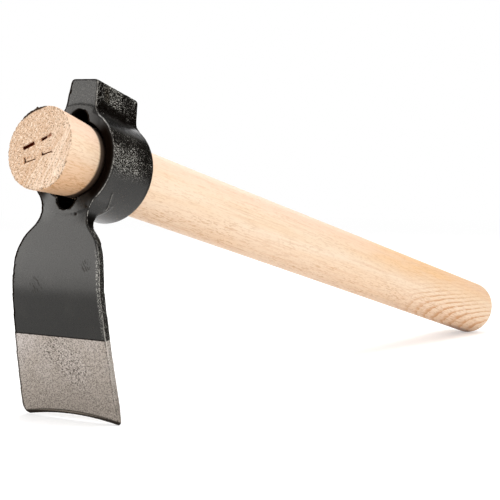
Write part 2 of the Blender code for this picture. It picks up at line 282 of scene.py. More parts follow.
def pollSlope():
    return (poll["frontHeight"] - poll["backHeight"]) / poll["depth"]


def pollBody():
    # front outline with fillets into the ring, extruded to the back, its two rims bevelled
    ring = eye["ringRadius"] - poll["sink"]
    baseHalf, topHalf, fillet = poll["baseWidth"] / 2, poll["topWidth"] / 2, poll["fillet"]
    centreX = baseHalf + fillet
    centreZ = sqrt((ring + fillet) ** 2 - centreX ** 2)
    wall = (eye["ringRadius"] + eye["frontRadius"]) / 2
    foot = asin(0.8 * centreX / ring)
    corner = poll["corner"]
    half = arc((0, 0), wall, pi / 2 - foot / 4, pi / 2 - foot, 4)
    half += arc((centreX, centreZ), fillet, atan2(-centreZ, -centreX), -pi, 20)
    half += arc((topHalf - corner, poll["frontHeight"] - corner), corner, 0, pi / 2, 8)
    outline = half + [(-x, z) for x, z in reversed(half)]
    bm = bmesh.new()
    front = bm.faces.new([bm.verts.new((x, poll["setBack"], z)) for x, z in outline])
    bmesh.ops.translate(bm, verts=extruded(bm, [front]), vec=(0, poll["depth"] - poll["setBack"], 0))
    bmesh.ops.recalc_face_normals(bm, faces=bm.faces)
    rims = ((poll["setBack"], poll["frontRounding"], 4), (poll["depth"], poll["backRounding"], 7))
    for y, rounding, steps in rims:
        rim = [e for e in bm.edges if all(abs(v.co.y - y) < 0.01 for v in e.verts)]
        roundOff(bm, rim, rounding, steps)
    for v in bm.verts:  # the top slopes down to the back, the foot stays on the ring
        v.co.z -= pollSlope() * v.co.y * smoothStep(ring, poll["frontHeight"] - corner, v.co.z)
    return pieceFrom("pollBody", bm)


def sideOutline(corner):
    # half of the outline as (half width, distance below the axis), from the ring to the cutting edge
    ring = eye["ringRadius"] - 0.05
    fillet = blade["neckFillet"]
    across = blade["neckWidth"] / 2 + fillet
    drop = sqrt((ring + fillet) ** 2 - across ** 2)
    slope = radians(blade["shoulderSlope"])
    points = [(across * ring / (ring + fillet), 0)]
    points += arc((across, drop), fillet, atan2(-drop, -across), -pi - slope, 24)
    startX, startS = points[-1]
    edgeHalf, length, taper = blade["edgeWidth"] / 2, blade["length"], blade["taper"]
    run = (edgeHalf - (length - startS) * taper - startX) / (tan(slope) - taper)
    shoulder = Vector((startX + run * tan(slope), startS + run))
    before = (Vector((startX, startS)) - shoulder).normalized()
    after = (Vector((edgeHalf, length)) - shoulder).normalized()
    halfTurn = before.angle(after) / 2
    reach = blade["shoulderRadius"] / tan(halfTurn)
    centre = shoulder + (before + after).normalized() * reach / cos(halfTurn)
    first, last = shoulder + before * reach - centre, shoulder + after * reach - centre
    points += arc(centre, first.length, atan2(first.y, first.x), atan2(last.y, last.x), 24)
    points += arc((edgeHalf - corner, length - corner), corner, 0, pi / 2, 12)
    return points


def widthAt(outline, drop):
    for (w0, s0), (w1, s1) in zip(outline, outline[1:]):
        if s0 <= drop <= s1 and s1 > s0:
            return w0 + (w1 - w0) * (drop - s0) / (s1 - s0)
    return outline[-1][0]


def rightSwell(s):
    return blade["rightSwell"] * smoothStep(*blade["swellUp"], s) * smoothStep(*blade["swellDown"], s)


def rowDrop(x, s):
    # rows follow the ring at the top of the neck and the hollow of the edge at the bottom
    bow = min(max(1 - (s - eye["ringRadius"]) / blade["backFillet"], 0), 1)
    low = max((s - blade["bendStart"]) / (blade["length"] - blade["bendStart"]), 0)
    ringBow = s - sqrt(max(s * s - x * x, 0))
    hollow = blade["hollow"] * (1 - (2 * x / blade["edgeWidth"]) ** 2)
    return s - bow * ringBow - low ** 2 * hollow


def rowHalfWidth(outline, s):
    low, high = 0, blade["edgeWidth"]
    for _ in range(30):
        x = (low + high) / 2
        low, high = (x, high) if widthAt(outline, rowDrop(x, s)) > x else (low, x)
    return low


def frontLine(s):
    # (y, z, lean) of the front face at a distance s down it: straight, then bent, then a long sweep
    bendStart, bendRadius, sweep = blade["bendStart"], blade["bendRadius"], blade["sweepRadius"]
    straight = min(s, bendStart)
    bend = min((s - straight) / bendRadius, radians(blade["bendAngle"]))
    rest = s - straight - bend * bendRadius
    tilt = bend + rest / sweep
    y = poll["setBack"] + bendRadius * (1 - cos(bend)) + sweep * (cos(bend) - cos(tilt))
    z = -straight - bendRadius * sin(bend) - sweep * (sin(tilt) - sin(bend))
    return y, z, tilt


def bladePoint(x, s, depth):
    y, z, tilt = frontLine(rowDrop(x, s))
    return Vector((x, y + depth * cos(tilt), z + depth * sin(tilt)))


def thicknessAt(x, s):
    ring, fillet = eye["ringRadius"], blade["backFillet"]
    share = min(max((s - ring) / (blade["bendStart"] - ring), 0), 1)
    gap = min(max(hypot(x, frontLine(rowDrop(x, s))[1]) - ring, 0), fillet)
    ground = blade["backGrindDepth"] * max(1 - (blade["length"] - s) / blade["backGrindLength"], 0)
    filled = fillet - sqrt(fillet ** 2 - (fillet - gap) ** 2)
    return blade["neckThickness"] + (blade["thickness"] - blade["neckThickness"]) * share - ground + filled


def bladeBody():
    # a grid laid on the front face, then extruded to the back by the thickness at each point
    outlines = {-1: sideOutline(blade["leftCorner"]), 1: sideOutline(blade["rightCorner"])}
    bm = bmesh.new()
    bmesh.ops.create_grid(bm, x_segments=blade["across"], y_segments=blade["down"], size=0.5)
    top = eye["ringRadius"] - blade["neckSink"]
    rows = {}
    for v in bm.verts:
        s = round(top + (v.co.y + 0.5) * (blade["length"] - top), 4)
        if s not in rows:
            rows[s] = {side: rowHalfWidth(outlines[side], s) for side in outlines}
            rows[s][1] += rightSwell(s)
        x = 2 * v.co.x * rows[s][1 if v.co.x > 0 else -1]
        v.co = Vector((x, s, thicknessAt(x, s)))
    backVerts = set(extruded(bm, bm.faces[:]))
    for v in bm.verts:
        x, s, thickness = v.co
        v.co = bladePoint(x, s, thickness if v in backVerts else 0)
    rim = [e for e in bm.edges if e.is_manifold and e.calc_face_angle() > radians(50)]
    roundOff(bm, rim, blade["sideBreak"], 2)
    return pieceFrom("bladeBody", bm)


def bossBody():
    bm = bmesh.new()
    wall = (eye["ringRadius"] + eye["frontRadius"]) / 2
    for side, halfWidth in ((1, poll["baseWidth"] / 2), (-1, blade["neckWidth"] / 2)):
        spread = eye["bossSpread"] * halfWidth / eye["bossRadius"]
        ends = (side * pi / 2 - spread, side * pi / 2 + spread)
        outline = arc((0, 0), eye["bossRadius"], *ends, 24) + arc((0, 0), wall, *reversed(ends), 24)
        face = bm.faces.new([bm.verts.new((x, 0, z)) for x, z in outline])
        bmesh.ops.translate(bm, verts=extruded(bm, [face]), vec=(0, eye["bossRoot"], 0))
    return pieceFrom("bossBody", bm)


def keywayPunch(side):
    # a drafted round punch that starts at the keyway's reach and runs out into the eye's wall
    overrun = eye["keywayOverrun"] / eye["keywayLength"]
    endReach = eyeRadiusAt(eye["keywayLength"]) - eye["keywayEndInset"]
    bm = bmesh.new()
    rims = []
    for share in (-overrun, 1 + overrun):
        radius = eye["keywayRadius"] + (eye["keywayEndRadius"] - eye["keywayRadius"]) * share
        centre = eye["keywayReach"] + (endReach - eye["keywayReach"]) * share - radius
        ring = bmesh.ops.create_circle(bm, cap_ends=True, radius=radius, segments=64)["verts"]
        bmesh.ops.rotate(bm, verts=ring, matrix=Matrix.Rotation(pi / 2, 3, "X"))
        bmesh.ops.translate(bm, verts=ring, vec=(0, eye["keywayLength"] * share, side * centre))
        rims += list({edge for v in ring for edge in v.link_edges})
    bmesh.ops.bridge_loops(bm, edges=rims)
    return pieceFrom("keyway" + ("Poll" if side > 0 else "Blade"), bm)


def bevelCutter():
    # the wedge that the grinder takes off the front of the cutting edge
    bm = bmesh.new()
    bmesh.ops.create_grid(bm, x_segments=blade["across"], y_segments=2, size=0.5)
    width = blade["edgeWidth"] + 2 * blade["cutterSpare"]
    first, last = blade["cutterFrom"], blade["cutterTo"]  # from above the bevel's top line to past the edge
    for v in bm.verts:
        share = first + (v.co.y + 0.5) * (last - first)
        s = blade["length"] - blade["bevelLength"] * (1 - share)
        v.co = Vector((v.co.x * width, s, blade["bevelDepth"] * share))
    frontVerts = set(extruded(bm, bm.faces[:]))
    for v in bm.verts:
        x, s, d = v.co
        v.co = bladePoint(x, s, d - blade["cutterThickness"] if v in frontVerts else d)
    return pieceFrom("bevelCutter", bm)


# forging marks: depths and sizes in millimetres
forging = {
    "voxel": 0.5, "quickVoxel": 0.9, "relax": 0.5, "keep": 0.78, "outlineSpread": 2, "outlineFade": 0.85,
    "dome": 0.0065, "domeFrom": 5, "domeDepth": 0.45,  # the face round the eye falls off to its sides
    "domeDepths": (6, 1), "domeHeights": (33, 27),
    "swell": 0.16, "swellSize": 13,  # slow waves from the dies
    "peel": 0.13, "peelSize": 2.3,  # scale marks on sides and back
    "smoothBelow": (-14, 2),  # the ring's lower half is smoother, between these heights
    "seamHeight": 0.42, "seamWidth": 0.6, "seamFade": 5,  # trimmed flash on the ring's lower front
    "seam": [(-32, 8.6), (-38, 9.7), (-44, 11.4), (-50, 13), (-56, 13.2), (-62, 12.4)],  # degrees, depth
    "pitPlace": (7.8, -26.4), "pitSize": 0.9, "pitDepth": 0.35, "farFromEdge": 9,
    "dentPlace": (7.5, 30.5), "dentSize": (3.2, 9), "dentDepth": 0.35,  # on the poll's sides
}


def seamLift(p):
    # height of the flash line at a point of the ring's outer face
    angle = degrees(atan2(p.z, abs(p.x)))
    line = forging["seam"]
    top, foot, run = line[0][0], line[-1][0], forging["seamFade"]
    if not foot <= angle <= top or p.x < 0 or hypot(p.x, p.z) < eye["ringRadius"] - 1:
        return 0
    for (a0, y0), (a1, y1) in zip(line, line[1:]):
        if a1 <= angle <= a0:
            y = y0 + (y1 - y0) * (angle - a0) / (a1 - a0)
    fade = smoothStep(foot, foot + run, angle) * smoothStep(top, top - run, angle)
    return forging["seamHeight"] * fade * max(1 - abs(p.y - y) / forging["seamWidth"], 0)


def forgingMark(p, n):
    # how far the forged skin lies below the ideal one; the flat front is smoother than the rest
    rough = 1 - 0.85 * smoothStep(0.75, 0.97, -n.y)
    if p.z > -40:
        rough *= 0.35 + 0.65 * smoothStep(*forging["smoothBelow"], p.z)
    swell = noise.noise(p / forging["swellSize"]) * 0.5 - 0.5
    peel = noise.noise(p / forging["peelSize"] + Vector((7, 3, 5))) * 0.5 - 0.5
    mark = forging["swell"] * rough * swell + forging["peel"] * rough ** 2 * peel
    pit = hypot(p.x - forging["pitPlace"][0], p.z - forging["pitPlace"][1]) / forging["pitSize"]
    if pit < 1 and n.y < -0.7:
        mark -= forging["pitDepth"] * (1 - pit * pit) ** 2
    if abs(n.x) > 0.7 and p.z > eye["ringRadius"]:
        dentY = (p.y - forging["dentPlace"][0]) / forging["dentSize"][0]
        dentZ = (p.z - forging["dentPlace"][1]) / forging["dentSize"][1]
        mark -= forging["dentDepth"] * max(1 - dentY ** 2 - dentZ ** 2, 0) ** 2
    return mark + seamLift(p)


def faceDrop(p):
    # how far the front round the eye falls back from the middle to its sides
    drop = min(forging["dome"] * max(abs(p.x) - forging["domeFrom"], 0) ** 2, forging["domeDepth"])
    return drop * smoothStep(*forging["domeDepths"], p.y) * smoothStep(*forging["domeHeights"], abs(p.z))


def skinBend(bm, around, cell):
    # how sharply the skin turns at each vertex, as 1 / mm: above 0 on edges, below 0 in creases
    raw = {}
    for v, ring in around.items():
        middle = sum((other.co for other in ring), Vector()) / len(ring)
        raw[v] = -4 * (middle - v.co).dot(v.normal) / cell ** 2
    return {v: (raw[v] + sum(raw[other] for other in ring)) / (1 + len(ring)) for v, ring in around.items()}


def markOutline(bm, around, cell):
    # edges that turn away to the left, spread a little over the faces beside them, for the painted shade laid
    # along left edges
    layer = bm.verts.layers.float["outline"]
    outline = {v: max(bend, 0) * max(-v.normal.x, 0) for v, bend in skinBend(bm, around, cell).items()}
    for _ in range(forging["outlineSpread"]):
        outline = {
            v: max(outline[v], forging["outlineFade"] * max(outline[other] for other in ring))
            for v, ring in around.items()}
    for v, value in outline.items():
        v[layer] = value


def markBladeEdge(bm):
    # distance from the blade's right edge, for the painted glints in a strip beside it
    outline = sideOutline(blade["rightCorner"])
    layer = bm.verts.layers.float["fromEdge"]
    heights = [frontLine(i / 4)[1] for i in range(int(4 * blade["length"]) + 1)]
    for v in bm.verts:
        v[layer] = forging["farFromEdge"]
        if v.co.z < -36 and v.co.x > 10:
            low, high = 0, len(heights) - 1
            while high - low > 1:
                middle = (low + high) // 2
                low, high = (middle, high) if heights[middle] > v.co.z else (low, middle)
            v[layer] = widthAt(outline, low / 4) + rightSwell(low / 4) - v.co.x


def forgedHead():
    skin = ringBody()
    helpers = [pollBody(), bladeBody(), bossBody()]
    punches = [keywayPunch(1), keywayPunch(-1)]
    for body in helpers:
        addBoolean(skin, body, "UNION")
    for punch in punches:
        addBoolean(skin, punch, "DIFFERENCE")
    remesh = skin.modifiers.new("even skin", "REMESH")
    remesh.mode = "VOXEL"
    cell = forging["voxel"]
    remesh.voxel_size = cell
    bakeModifiers(skin, helpers + punches)
    bm = bmesh.new()
    bm.from_mesh(skin.data)
    bmesh.ops.smooth_vert(
        bm, verts=bm.verts, factor=forging["relax"], use_axis_x=True, use_axis_y=True, use_axis_z=True)
    bm.normal_update()
    for layer in ("bend", "outline", "fromEdge"):
        bm.verts.layers.float.new(layer)
    around = {v: [e.other_vert(v) for e in v.link_edges] for v in bm.verts}
    markOutline(bm, around, cell)
    moves = [v.normal * forgingMark(v.co, v.normal) for v in bm.verts]
    for v, move in zip(bm.verts, moves):
        v.co.y += faceDrop(v.co)
        v.co += move
    bm.normal_update()
    bendLayer = bm.verts.layers.float["bend"]
    for v, bend in skinBend(bm, around, cell).items():
        v[bendLayer] = bend
    markBladeEdge(bm)
    bm.to_mesh(skin.data)
    bm.free()
    thin = skin.modifiers.new("fewer triangles", "DECIMATE")
    thin.ratio = forging["keep"]
    wedge = bevelCutter()
    addBoolean(skin, wedge, "DIFFERENCE")
    bakeModifiers(skin, [wedge])
    skin.name = "forgedHead"
    print("head:", len(skin.data.polygons), "faces")
    return skin


# lacquer above the line, bare blasted steel below it, with painted shade, painted glints and painted
# highlights on both
finishAndPaintedLight = {
    "lineAlong": 86.2, "lineWobble": 0.22,  # paint line's distance down the blade's front, mm
    "lacquer": (0.0034, 0.0032, 0.0029), "lacquerDust": (0.009, 0.0084, 0.0074),
    "lacquerRoughness": 0.28, "lacquerGloss": 0.55, "glossTint": (0.5, 0.485, 0.46),
    # the shade colour is painted shade, speck is painted glints, and the colour for right-facing edges is
    # rubbed paint with painted highlight
    "shade": (0.0045, 0.003, 0.0022), "shadeRoughness": 0.5,
    "speck": (0.58, 0.56, 0.505), "sandSpeck": (0.12, 0.114, 0.102), "rubAndHighlight": (0.42, 0.4, 0.366),
    "streak": (0.12, 0.108, 0.085),
    "steel": (0.3, 0.262, 0.228), "steelLight": (0.39, 0.352, 0.328), "steelLow": (0.275, 0.24, 0.208),
    # steelGlint is painted glints, and the colour for the side faces is painted light
    "steelDark": (0.095, 0.08, 0.068), "steelGlint": (0.52, 0.47, 0.425), "steelSideLight": (0.52, 0.475, 0.43),
    "steelRoughness": 0.46, "steelMetallic": 0.9, "pit": (0.05, 0.04, 0.033),
    "bevelSteel": (0.21, 0.175, 0.135), "bevelDark": (0.014, 0.01, 0.008),
}

# where the worn marks, the painted shade and the painted glints and highlights come in and go out: heights
# (Z), depths (Y) and radii in mm
marksAndPaintedLight = {
    "grit": 1.95, "sand": 1.6, "blastGrain": 1.45,  # grains to the millimetre
    "ringGrit": (-9, 3, 14.5, 18), "pollGrit": (21.5, 24.5), "neckGrit": (-30, -36, 0, 0.55),
    "rubbedPatch": ((7, 37.5), (8.5, 30), 3.2),  # poll's sides: depth and height at both ends, half width
    # a band of painted shade on the poll's sides:
    "darkBand": ((3.5, 28), (24, 24.5), 4),
    # where the light dashes on right-facing edges, rubbed paint and painted highlight, fade on the neck
    "neckLessRubAndHighlight": (-27.5, -30.5, -40, -46),
    "seamHeights": (-11, -14), "seamDepths": (6, 8, 15, 17),
    # painted glints beside the blade's right edge:
    "strip": (0.1, 0.7, 1.9, 2.8),  # distances from the blade's right edge
    "stripHeights": (-40, -50), "stripFade": (-82, -68, 0.35, 1),
    "scratches": [((-10.8, -61.6), 5), ((18.8, -50.8), 3.6)], "scratchTurn": 38,  # place and reach; degrees
    # painted shade inside the eye and on the ring's back corner
    "eyeRadii": (24.8, 24.6), "eyeDepths": (1.1, 1.9, 32.6, 33.4), "backCorner": (29.6, 30.6),
    "blastedBand": (2.4, -94), "paleFrom": (-52, -36), "lowSteel": (-96, -116),
    "bevelHeights": (2.15, 1.75), "bevelTopLine": (2.6, 2.2, 1.95, 1.6), "bevelLowLine": (1.85, 1.5),
}


def nearPlace(n, x, z, place, reach):
    # 1 at a spot of the front, fading to 0 at its reach
    dx, dz = n.less(x, place[0]), n.less(z, place[1])
    return n.ramp(n.plus(n.times(dx, dx), n.times(dz, dz)), reach * reach, 0.2 * reach * reach)


def bandOnSides(n, spot, start, end, halfWidth):
    # 1 along a line on the head's sides, given by depth and height, fading to 0 at the half width
    way = Vector((0, end[0] - start[0], end[1] - start[1]))
    along, half = way.normalized(), way.length / 2
    aside = Vector((0, along.z, -along.y))
    origin = Vector((0, *start))
    off = n.size(n.less(n.dot(spot, aside), aside.dot(origin)))
    ahead = n.size(n.less(n.dot(spot, along), along.dot(origin) + half))
    return n.times(n.ramp(off, halfWidth, 0.3 * halfWidth), n.ramp(ahead, half + 1.5, half - 1.5))


def headMaterial():
    material, n, shader = newMaterial("blackLacquerOnSteel", finishAndPaintedLight)
    spot, x, y, z, radius = n.toolSpot()
    frontness, rightness = n.facing((0, -1, 0)), n.facing((1, 0, 0))
    onFront = n.ramp(frontness, 0.55, 0.9)
    offFront = n.rest(onFront)
    bend, outline, fromEdge = [
        n.add("Attribute", attribute_name=name).outputs["Fac"] for name in ("bend", "outline", "fromEdge")]
    ridge = n.ramp(bend, 0.36, 1)

    # bare below the paint line
    lineY, lineZ, tilt = frontLine(finishAndPaintedLight["lineAlong"])
    down = Vector((0, sin(tilt), -cos(tilt)))
    wobble = n.times(n.noise(spot, 0.9, 3), "lineWobble")
    lineDown = down.dot(Vector((0, lineY, lineZ))) + finishAndPaintedLight["lineWobble"] / 2
    past = n.less(n.plus(n.dot(spot, down), wobble), lineDown)
    bare = n.ramp(past, -0.06, 0.06)

    # where the lacquer is coarse: the upper sides, strongest in patches; painted glints on the peaks of its
    # grit, painted shade between its grains
    upper = n.most(n.between(z, *marksAndPaintedLight["ringGrit"]), n.ramp(z, *marksAndPaintedLight["pollGrit"]))
    coarse = n.times(n.most(upper, n.ramp(z, *marksAndPaintedLight["neckGrit"])), offFront, n.ramp(radius, 24.6, 24.9))
    patches = n.ramp(n.noise(spot, 0.16), 0.36, 0.62, 0.6, 1)
    grit = n.noise(spot, marksAndPaintedLight["grit"], 1.5, 0.6)
    # how much painted glint, and how little painted shade between the grains, the grit gets: less between 14
    # and 23 mm high, towards the ring's back, and at the poll's front and back
    ringGlintLevel = n.ramp(y, 31, 15, 0.4, 1)
    pollGlintLevel = n.times(n.ramp(y, 2, 13, 0.65, 1), n.ramp(y, 14, 24, 1, 0.66))
    glintLevel = n.times(
        n.most(n.ramp(z, 23, 33, 0.35, 1), n.ramp(z, 14, 3, 0.3, 1)),
        n.mix(n.ramp(z, 17, 22), ringGlintLevel, pollGlintLevel))
    # a rubbed streak on the poll's sides, and below it a band of painted shade (hollow)
    streak, hollow = [
        n.times(bandOnSides(n, spot, *marksAndPaintedLight[name]), offFront) for name in ("rubbedPatch", "darkBand")]
    # painted glints on the grit's peaks, painted shade between them
    speckled = n.ramp(n.plus(grit, n.times(glintLevel, 0.12)), 0.674, 0.712)
    grains = n.times(speckled, coarse, patches, n.rest(n.times(hollow, 0.6)))
    gritGapShade = n.times(n.most(n.ramp(grit, 0.58, 0.53), n.ramp(glintLevel, 0.95, 0.5, 0, 0.88)), coarse)
    sandy = n.times(n.ramp(z, 20, 26), onFront)
    sand = n.noise(spot, marksAndPaintedLight["sand"], 2, 0.6)
    cloud = n.noise(spot, 0.07, 3, 0.55)

    # light dashes on edges that face right and on the flash line, partly rubbed paint and partly painted
    # highlight; painted glints in a strip beside the blade's right edge
    dashes = n.ramp(n.noise(spot, 0.85, 2, 0.6), 0.42, 0.56, 0.25, 1)
    rightEdge = n.times(
        ridge, n.ramp(rightness, 0.12, 0.45), n.ramp(frontness, 0.15, 0.45),
        n.mix(n.ramp(z, -3, -9), 1, n.ramp(frontness, 0.88, 0.7)),
        n.mix(n.between(z, *marksAndPaintedLight["neckLessRubAndHighlight"]), 1, 0.25))
    seam = n.times(
        ridge, n.ramp(z, *marksAndPaintedLight["seamHeights"]), n.ramp(rightness, 0.1, 0.3), n.between(y, *marksAndPaintedLight["seamDepths"]))
    strip = n.times(
        n.between(fromEdge, *marksAndPaintedLight["strip"]), onFront, n.ramp(grit, 0.54, 0.59, 0, 0.8),
        n.ramp(z, *marksAndPaintedLight["stripHeights"]), n.ramp(z, *marksAndPaintedLight["stripFade"]))

    # scratches on the blade
    near = [n.times(nearPlace(n, x, z, place, reach), onFront) for place, reach in marksAndPaintedLight["scratches"]]
    scratch = n.ramp(n.noise(n.turned(spot, marksAndPaintedLight["scratchTurn"]), (1.6, 0.4, 0.3), 1), 0.56, 0.62)
    scratch = n.times(scratch, n.plus(*near))

    # black where little light gets in: round the eye's mouth, left and upper edges, over the paint line
    leftEdge = n.times(n.ramp(outline, 0.07, 0.2), n.ramp(rightness, 0.35, 0.1))
    toTop = n.less(n.dot(spot, (0, pollSlope(), 1)), poll["frontHeight"])
    backEdge = n.most(
        n.ramp(frontness, -0.12, -0.35), n.times(n.ramp(y, *marksAndPaintedLight["backCorner"]), n.ramp(z, -18, 2)))
    neckSide = n.times(n.ramp(rightness, 0.7, 0.9), n.ramp(z, -25, -29, 0, 0.75))
    steep = n.math("DIVIDE", n.size(z), radius)
    besideEye = n.mix(n.ramp(z, -2, 2), n.ramp(steep, 0.9, 0.72), n.ramp(steep, 0.94, 0.62))
    shaded = n.most(
        leftEdge,
        n.ramp(toTop, -1.2, -0.7),
        n.times(backEdge, n.ramp(frontness, -0.98, -0.85)),
        neckSide,
        n.times(n.ramp(radius, *marksAndPaintedLight["eyeRadii"]), n.between(y, *marksAndPaintedLight["eyeDepths"])),
        n.times(besideEye, n.ramp(radius, 25, 22.5, 0.75, 1), onFront, n.ramp(radius, 25.6, 25)),
        n.times(n.ramp(past, -0.75, -0.35), onFront, 0.8),
        n.times(nearPlace(n, x, z, forging["pitPlace"], forging["pitSize"]), onFront, 0.8),
        n.times(n.most(gritGapShade, hollow), 0.96),
        n.times(scratch, 0.6),
        n.times(n.ramp(radius, 27.1, 26.7), n.ramp(z, 12, 19), onFront, 0.16))
    shaded = n.times(shaded, n.rest(n.most(rightEdge, grains)))
    lacquer = n.coats(
        "lacquer",
        (n.ramp(cloud, 0.48, 0.72), "lacquerDust"),
        (n.times(n.ramp(sand, 0.52, 0.64), sandy, 0.3), "sandSpeck"),
        # painted glints on the grit
        (n.times(grains, 0.9), "speck"),
        (n.times(streak, n.ramp(grit, 0.38, 0.54, 0.45, 1)), "streak"),
        # rubbed paint and painted highlight on right-facing edges and the flash line
        (n.most(n.times(rightEdge, dashes), n.times(seam, 0.8)), "rubAndHighlight"),
        # painted glints in a strip beside the blade's right edge
        (n.times(strip, 0.58), "speck"),
        (n.times(scratch, 0.15), "streak"),
        (shaded, "shade"))
    lacquerRough = n.plus(finishAndPaintedLight["lacquerRoughness"] - 0.06, n.times(grit, 0.12))
    lacquerRough = n.mix(shaded, lacquerRough, "shadeRoughness")

    # blasted steel: fine dark grain with painted glints, pits in a slanting band, paler upper left, and
    # painted light on the side faces
    bandX, bandZ = marksAndPaintedLight["blastedBand"]
    alongBand = n.plus(n.dot(spot, (0.8, 0, -0.6)), -(0.8 * bandX - 0.6 * bandZ))
    acrossBand = n.plus(n.dot(spot, (0.6, 0, 0.8)), -(0.6 * bandX + 0.8 * bandZ))
    inBand = n.times(n.ramp(n.size(alongBand), 19, 8), n.ramp(n.size(acrossBand), 10, 3))
    blastGrain = n.noise(spot, marksAndPaintedLight["blastGrain"], 2, 0.7)
    speck = n.ramp(blastGrain, 0.5, 0.6)
    cells = n.add("TexVoronoi", {"Vector": spot, "Scale": 0.6, "Randomness": 1}).outputs
    deep = n.ramp(n.add("SeparateXYZ", {0: cells["Color"]}).outputs["X"], 0.45, 0.75)
    pits = n.times(n.ramp(cells["Distance"], 0.34, 0.2), inBand, deep)

    # ground bevel along the hollow edge: a dark line over it, darker still at the very edge
    _, edgeZ, edgeTilt = frontLine(blade["length"])
    across = n.math("DIVIDE", x, blade["edgeWidth"] / 2)
    outward = n.times(across, across)
    above = n.less(n.less(z, edgeZ), n.times(n.rest(outward), blade["hollow"] * cos(edgeTilt)))
    lowLine = n.ramp(n.less(n.plus(above, n.times(grit, 0.6)), n.times(outward, 0.9)), *marksAndPaintedLight["bevelLowLine"])
    lines = n.most(n.times(n.between(above, *marksAndPaintedLight["bevelTopLine"]), 0.75), lowLine)
    # painted shade in dashes on the steel's rounded right edges
    sideLine = n.times(n.between(rightness, 0.1, 0.35, 0.65, 0.85), dashes)
    steel = n.coats(
        "steel",
        (n.ramp(n.dot(spot, (-0.75, 0, 0.66)), *marksAndPaintedLight["paleFrom"]), "steelLight"),
        (n.ramp(cloud, 0.4, 0.6, 0, 0.3), "steelLight"),
        # painted light on the side faces
        (n.times(offFront, 0.7), "steelSideLight"),
        (n.ramp(z, *marksAndPaintedLight["lowSteel"]), "steelLow"),
        (n.times(n.ramp(blastGrain, 0.46, 0.37), n.mix(inBand, 0.3, 0.55)), "steelGlint"),
        (n.times(speck, n.mix(inBand, 0.6, 1)), "steelDark"),
        (n.times(pits, 0.9), "pit"),
        (n.times(n.ramp(above, *marksAndPaintedLight["bevelHeights"]), 0.75), "bevelSteel"),
        (n.times(lines, 0.95), "bevelDark"),
        # painted shade along the steel's left edges and in dashes on its right edges
        (n.times(n.most(leftEdge, sideLine), 0.75), "bevelDark"))
    steelRough = n.plus("steelRoughness", n.times(speck, 0.14))

    # relief: grit on the sides, sand on the poll's front, the paint's own thickness, blasted grain
    rise = n.times(grit, n.plus(n.times(coarse, 0.26), n.times(offFront, 0.035)))
    rise = n.plus(rise, n.times(sand, n.mix(sandy, 0.006, 0.045)), n.times(scratch, -0.05), 0.12)
    blast = n.less(n.times(n.noise(spot, 2, 3, 0.65), 0.12), n.times(pits, 0.18))
    height = n.plus(n.times(rise, n.rest(bare)), n.times(blast, bare))
    n.fill(shader, {
        "Base Color": n.coats(lacquer, (bare, steel)),
        "Roughness": n.mix(bare, lacquerRough, steelRough),
        "Metallic": n.mix(bare, shaded, "steelMetallic"),
        "Specular IOR Level": "lacquerGloss", "Specular Tint": "glossTint",
        "Normal": n.add("Bump", {"Height": height, "Strength": 1, "Distance": 0.001}).outputs[0],
    })
    return material


head = forgedHead()
setOnFrame(head, headMaterial())
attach(head, "head")
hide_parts("head")


# handle
handle = {
    "length": 456.2, "stub": 22.7, "endRadius": 20.3, "endRounding": 0.5,
    "mouthRadius": 18.1, "seatRadius": 17.1, "gripRadius": 16.8, "taperRun": 40, "gripStart": 120,
    "buttRounding": 4, "segments": 288, "rimRows": [0.25, 0.55, 0.95, 1.5], "rowStep": 2.2,
    "slots": [  # across, up, tilt, length, width, depth
        (-8.1, 0.8, 25, 7.5, 2.2, 2.9), (2, 5, 25, 7.4, 1.8, 0.95), (0.4, 4.4, 24, 3.4, 1.7, 2.6),
        (-6, -5.4, 17, 7.1, 2, 0.22), (4.2, -1.6, 15, 7.1, 2, 0.22), (-6, -6.5, 18, 7.3, 0.75, 2.6),
        (4.1, -2.6, 16, 7.4, 1, 2.2), (-9.1, -6, 17, 1.2, 2.4, 2.6), (1, -2.9, 15, 1.1, 2.3, 2.2),
    ],
    "slotTear": 0.3, "slotSpare": 2,
    "endBow": 3.4, "endBowPower": 1.35, "endBowDepth": 9,  # the saw ran out to the front on the right
    "endBowSpare": 0.6, "lowRimSink": 0.14, "lowRimHeights": (-17, -20),  # low down it stays in the box
    "chip": 0.4, "chipSize": 1.1, "chipReach": 1.6, "wave": 0.05, "waveLength": 16,
    "splinters": [  # angle, length, half width in degrees
        (109, 0.8, 2.5), (114, 0.25, 5), (121, 0.25, 5), (128, 0.18, 6), (136, 0.1, 6),
        (-130, 0.4, 2.5),
    ],
}


def handleRadius(y):
    seatY = eye["depth"]
    if y < 0:
        return handle["mouthRadius"] - (handle["endRadius"] - handle["mouthRadius"]) * y / handle["stub"]
    if y < seatY:
        return handle["mouthRadius"] + (handle["seatRadius"] - handle["mouthRadius"]) * y / seatY
    share = smoothStep(seatY - handle["taperRun"], handle["gripStart"], y)
    return handle["seatRadius"] + (handle["gripRadius"] - handle["seatRadius"]) * share


def endBow(x, z):
    # how far the sawn end stands out in front of its middle
    bow = handle["endBow"] * (max(x, 0) / handle["endRadius"]) ** handle["endBowPower"]
    limit = (z + handle["endRadius"]) * tan(lean) - handle["endBowSpare"]
    return max(min(bow, limit), -handle["lowRimSink"] * smoothStep(*handle["lowRimHeights"], z))


